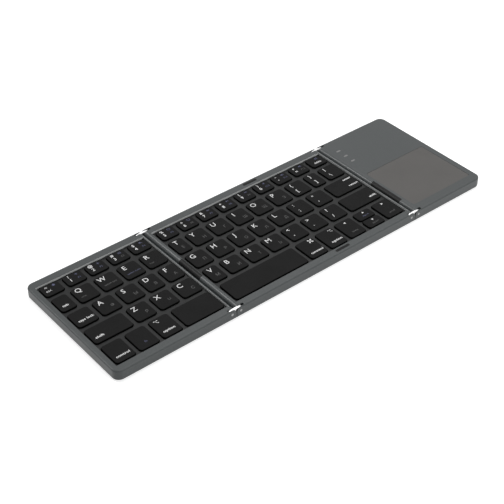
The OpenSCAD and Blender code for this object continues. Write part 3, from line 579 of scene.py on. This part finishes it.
def finished(obj, name):
    bpy.context.view_layer.update()
    mesh = bpy.data.meshes.new_from_object(obj.evaluated_get(bpy.context.evaluated_depsgraph_get()))
    bpy.data.objects.remove(obj)
    mesh.name = name
    piece = bpy.data.objects.new(name, mesh)
    bpy.context.scene.collection.objects.link(piece)
    return piece


def caps_for(name, places):
    points = bpy.data.meshes.new(name + "_centres")
    centres = [((x0 + x1) / 2 * MM, (y0 + y1) / 2 * MM, CAP_LOW) for x0, x1, y0, y1 in places]
    points.from_pydata(centres, [], [])
    size = points.attributes.new("half_size", "FLOAT_VECTOR", "POINT")
    for i, (x0, x1, y0, y1) in enumerate(places):
        size.data[i].vector = ((x1 - x0) / 2 * MM, (y1 - y0) / 2 * MM, 0)
    holder = bpy.data.objects.new(name + "_centres", points)
    bpy.context.scene.collection.objects.link(holder)
    modifier = holder.modifiers.new("caps", "NODES")
    modifier.node_group = cap_tree
    set_input(modifier, "Material", cap_plastic)
    return finished(holder, name)


body_of_node = {n: body for body, members in frame["record"]["behaviour"]["bodies"].items() for n in members}
for node_name in sorted({place[0] for place in key_places.values()}):
    places = [place[1:] for place in key_places.values() if place[0] == node_name]
    caps = caps_for(node_name + "_caps_shown", places)
    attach(caps, body_of_node[node_name])
    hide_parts(node_name)
example = bpy.data.objects["key_q_caps_shown"]
print("caps made; one has", len(example.data.vertices), "vertices")

# %% [markdown]
# ## Printed legends
# The legends are pale ink on the black caps. Each one is real lettering: a text object of the printed height
# is turned into a thin mesh, stretched to a word's printed width, and set at its place on the cap. Large
# letters stand near the upper left corner, small words near the lower edge, and the faint second alphabet
# near the lower right. The symbols are flat polygons, and each piece of caps gets one mesh of ink.

# %% Ink
def ink(name, color):
    material, tree, shader = new_material(name)
    worn = tuple(channel * 0.85 for channel in color[:3]) + (1,)
    mottle(tree, shader, noise(tree, 1400, 2.0), worn, color)
    set_values(shader, Roughness=0.5)
    return material


white_ink = ink("white_ink", grey(0.72))
blue_ink = ink("blue_ink", (0.045, 0.05, 0.11, 1))
dim_ink = ink("dim_ink", grey(0.055))
print("three inks")

# %% Lettering
INK_LIFT = 0.012 * MM
CAPITAL_SHARE = 0.7


def lettering(text, cap_height, bold=0.0):
    curve = bpy.data.curves.new("lettering", "FONT")
    curve.body = text
    curve.size = cap_height * MM / CAPITAL_SHARE
    curve.offset = bold * MM
    curve.resolution_u = 3
    curve.extrude = INK_LIFT
    holder = bpy.data.objects.new("lettering", curve)
    bpy.context.scene.collection.objects.link(holder)
    bpy.context.view_layer.update()
    mesh = bpy.data.meshes.new_from_object(holder.evaluated_get(bpy.context.evaluated_depsgraph_get()))
    bpy.data.objects.remove(holder)
    return mesh


def place_mesh(mesh, x, y, align, width=None):
    xs = [v.co.x for v in mesh.vertices]
    ys = [v.co.y for v in mesh.vertices]
    stretch = width * MM / (max(xs) - min(xs)) if width else 1.0
    anchor = {"left": min(xs), "right": max(xs), "centre": (min(xs) + max(xs)) / 2}[align]
    middle = (min(ys) + max(ys)) / 2
    for v in mesh.vertices:
        v.co.x = (v.co.x - anchor) * stretch + x * MM
        v.co.y = v.co.y - middle + y * MM
        v.co.z += CAP_TOP
    return mesh


print("lettering ready")

# %% Which legend goes where
small = 1.75
word_left, word_right, word_line = 2.7, 1.4, 4.7
digit_x, sign_x = 3.9, 4.4
second = dict(zip("TYUIOPASDFGHJKLZXCVBNM", "ЕНГШЩЗФЫВАПРОЛДЯЧСМИТЬ"))
platform_words = {"Q": ("one", 3.4), "W": ("system two", 8.8), "E": ("system three", 9.6), "R": ("four", 3.2)}
digits = dict(zip("1234567890-=", "!@#$%^&*()_+"))
pairs = {"[": "{", "]": "}", "\\": "|", ";": ":", "'": '"', ",": "<", ".": ">", "/": "?"}
legends = []


def legend(key, text, height, x, y, align, material, width=None, bold=0.0):
    legends.append((key, text, height, x, y, align, material, width, bold))


for key, (node_name, x0, x1, y0, y1) in key_places.items():
    if len(key) == 1 and key.isalpha():
        legend(key, key, 3.8, x0 + 4.5, y1 - 3.5, "centre", white_ink, bold=0.02)
        if key in second:
            legend(key, second[key], 2.4, x1 - 4.4, y0 + 5.2, "centre", dim_ink)
        if key in platform_words:
            word, width = platform_words[key]
            word_ink = blue_ink if key == "E" else dim_ink
            legend(key, word, 1.5, x0 + word_left, y0 + 4.6, "left", word_ink, width)
    elif key in digits:
        legend(key, digits[key], 2.3, x0 + digit_x, y1 - 2.4, "centre", white_ink, bold=0.06)
        legend(key, key, 2.5, x0 + digit_x, y1 - 6.1, "centre", white_ink, bold=0.06)
    elif key in pairs:
        legend(key, pairs[key], 2.9, x0 + sign_x, y1 - 3.2, "centre", white_ink, bold=0.05)
        legend(key, key, 2.9, x0 + sign_x, y1 - 10.2, "centre", white_ink, bold=0.05)
for word, width in (("caps lock", 10.8), ("shift", 5.9), ("control", 9.4), ("option", 8.4), ("tab", 4.2)):
    _, x0, x1, y0, y1 = key_places[word]
    legend(word, word, small, x0 + word_left, y0 + word_line, "left", white_ink, width, 0.05)
for key, word, width, y in (
    ("command", "command", 9.8, word_line), ("right option", "option", 8.6, word_line),
    ("right shift", "shift", 5.9, word_line), ("enter", "enter", 7.0, 11.9),
    ("enter", "return", 7.6, word_line), ("delete", "delete", 5.6, 3.9),
):
    _, x0, x1, y0, y1 = key_places[key]
    margin = word_right + (2.4 if key == "delete" else 0)
    legend(key, word, small, x1 - margin, y0 + y, "right", white_ink, width, 0.05)
print(len(legends), "legends in words and letters")

# %% Symbols drawn as small shapes
def twice_area(outline):
    following = outline[1:] + outline[:1]
    return sum(x0 * y1 - x1 * y0 for (x0, y0), (x1, y1) in zip(outline, following))


def polygons(shapes, cx, cy, size):
    mesh = bpy.data.meshes.new("symbol")
    vertices, faces = [], []
    for outline in shapes:
        count = len(outline)
        first = len(vertices)
        outline = outline if twice_area(outline) > 0 else outline[::-1]
        for z in (CAP_TOP - INK_LIFT, CAP_TOP + INK_LIFT):
            vertices += [((cx + x * size) * MM, (cy + y * size) * MM, z) for x, y in outline]
        faces.append(range(first + count - 1, first - 1, -1))
        faces.append(range(first + count, first + 2 * count))
        for i in range(count):
            low, after = first + i, first + (i + 1) % count
            faces.append((low, after, after + count, low + count))
    mesh.from_pydata(vertices, [], faces)
    return mesh


def bar(x0, x1, y0, y1):
    return [(x0, y0), (x1, y0), (x1, y1), (x0, y1)]


def disc(x, y, r, count=12, turn=0):
    angles = [math.radians(turn) + 2 * math.pi * i / count for i in range(count)]
    return [(x + r * math.cos(angle), y + r * math.sin(angle)) for angle in angles]


def wedge(x, y, r, turn):
    return disc(x, y, r, 3, turn)


horn = [bar(-0.45, -0.2, -0.15, 0.15), [(-0.2, -0.15), (0.1, -0.4), (0.1, 0.4), (-0.2, 0.15)]]
symbols = {
    "left arrow": [wedge(0, 0, 0.5, 180)],
    "right arrow": [wedge(0, 0, 0.5, 0)],
    "up arrow": [wedge(0, 0, 0.5, 90)],
    "down arrow": [wedge(0, 0, 0.5, -90)],
    "step": [
        bar(-0.5, -0.1, 0.25, 0.38), bar(0.1, 0.5, 0.25, 0.38),
        [(-0.2, 0.38), (-0.1, 0.25), (0.25, -0.38), (0.12, -0.38)], bar(0.1, 0.5, -0.38, -0.25),
    ],
    "knot": [
        bar(-0.25, 0.25, 0.17, 0.3), bar(-0.25, 0.25, -0.3, -0.17), bar(-0.3, -0.17, -0.17, 0.17),
        bar(0.17, 0.3, -0.17, 0.17),
    ] + [disc(x, y, 0.17) for x in (-0.36, 0.36) for y in (-0.36, 0.36)],
    "sun": [
        disc(0, 0, 0.22), bar(-0.5, -0.32, -0.05, 0.05), bar(0.32, 0.5, -0.05, 0.05),
        bar(-0.05, 0.05, -0.5, -0.32), bar(-0.05, 0.05, 0.32, 0.5),
    ],
    "back": [wedge(-0.2, 0, 0.3, 180), wedge(0.25, 0, 0.3, 180)],
    "play": [wedge(-0.15, 0, 0.35, 0), bar(0.25, 0.33, -0.3, 0.3), bar(0.42, 0.5, -0.3, 0.3)],
    "on": [wedge(-0.25, 0, 0.3, 0), wedge(0.2, 0, 0.3, 0)],
    "speaker": horn,
    "louder": horn + [bar(0.25, 0.33, -0.3, 0.3), bar(0.42, 0.5, -0.4, 0.4)],
    "screen": [
        bar(-0.5, 0.5, 0.3, 0.4), bar(-0.5, 0.5, -0.3, -0.2), bar(-0.5, -0.4, -0.2, 0.3),
        bar(0.4, 0.5, -0.2, 0.3), bar(-0.2, 0.2, -0.45, -0.38),
    ],
    "lens": [disc(-0.1, 0.1, 0.32), [(0.12, -0.06), (0.2, 0.02), (0.5, -0.3), (0.4, -0.4)]],
    "lines": [bar(-0.5, 0.5, 0.2, 0.32), bar(-0.5, 0.5, -0.06, 0.06), bar(-0.5, 0.5, -0.32, -0.2)],
    "house": [[(-0.5, 0), (0.5, 0), (0, 0.45)], bar(-0.35, 0.35, -0.4, 0)],
}
marks = []
for i, (key, icon) in enumerate(zip(
    ["esc", "1", "2", "3", "4", "5", "6", "7", "8", "9", "0", "-", "=", "delete"],
    ["house", "sun", "sun", "lines", "lens", "screen", "screen"]
    + ["back", "play", "on", "speaker", "louder", "louder", "lines"],
)):
    _, x0, x1, y0, y1 = key_places[key]
    icon_x = x0 + (9.5 if key != "delete" else 8.5)
    marks.append((key, icon, icon_x, y1 - 2.5, 2.4, blue_ink))
    if key not in ("esc", "delete"):
        legend(key, "F%d" % i, 1.6, x0 + 9.7, y1 - 6.3, "centre", blue_ink if i % 3 else dim_ink)
_, x0, x1, y0, y1 = key_places["esc"]
legend("esc", "esc", 1.9, x0 + 2.4, y1 - 6.2, "left", white_ink, 3.6)
marks.append(("esc", "lines", x0 + 4.0, y1 - 2.4, 1.6, white_ink))
_, x0, x1, y0, y1 = key_places["fn"]
legend("fn", "fn", 1.7, x0 + 7.1, y0 + 5.3, "centre", blue_ink)
for key, dx, dy in (("option", 4.4, 3.4), ("right option", 11.1, 3.2)):
    _, x0, x1, y0, y1 = key_places[key]
    marks.append((key, "step", x0 + dx, y1 - dy, 3.0, white_ink))
_, x0, x1, y0, y1 = key_places["command"]
marks.append(("command", "knot", x0 + 11.0, y1 - 3.1, 3.2, white_ink))
for key, word in (("left arrow", "home"), ("right arrow", "end")):
    _, x0, x1, y0, y1 = key_places[key]
    middle = (x0 + x1) / 2 + 0.4
    marks.append((key, key, middle, y1 - 3.3, 2.2, white_ink))
    legend(key, word, 1.5, middle, y1 - 13.4, "centre", dim_ink, 4.8)
for key, word, word_ink in (("up arrow", "page up", blue_ink), ("down arrow", "page down", dim_ink)):
    _, x0, x1, y0, y1 = key_places[key]
    middle = (x0 + x1) / 2 + 0.7
    marks.append((key, key, middle, (y0 + y1) / 2 + 2.0, 1.9, white_ink))
    legend(key, word, 1.4, middle, (y0 + y1) / 2 - 1.3, "centre", word_ink, 5.2)
print(len(marks), "symbols")

# %% One mesh of ink for each body
def join_meshes(name, parts):
    joined = bmesh.new()
    mesh = bpy.data.meshes.new(name)
    used = []
    for part, material in parts:
        if material not in used:
            used.append(material)
            mesh.materials.append(material)
        before = len(joined.faces)
        joined.from_mesh(part)
        joined.faces.ensure_lookup_table()
        for face in joined.faces[before:]:
            face.material_index = used.index(material)
            face.smooth = False
        bpy.data.meshes.remove(part)
    joined.to_mesh(mesh)
    joined.free()
    obj = bpy.data.objects.new(name, mesh)
    bpy.context.scene.collection.objects.link(obj)
    return obj


ink_parts = {}
for key, text, height, x, y, align, material, width, bold in legends:
    made = place_mesh(lettering(text, height, bold), x, y, align, width)
    ink_parts.setdefault(key_places[key][0], []).append((made, material))
for key, symbol, x, y, size, material in marks:
    made = polygons(symbols[symbol], x, y, size)
    ink_parts.setdefault(key_places[key][0], []).append((made, material))
for node_name, parts in sorted(ink_parts.items()):
    printed = join_meshes(node_name + "_legends", parts)
    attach(printed, body_of_node[node_name])
print("ink on", len(ink_parts), "pieces")

# %% [markdown]
# ## Finish
# The picture uses the Standard view transform.

# %% View settings
bpy.context.scene.view_settings.view_transform = "Standard"
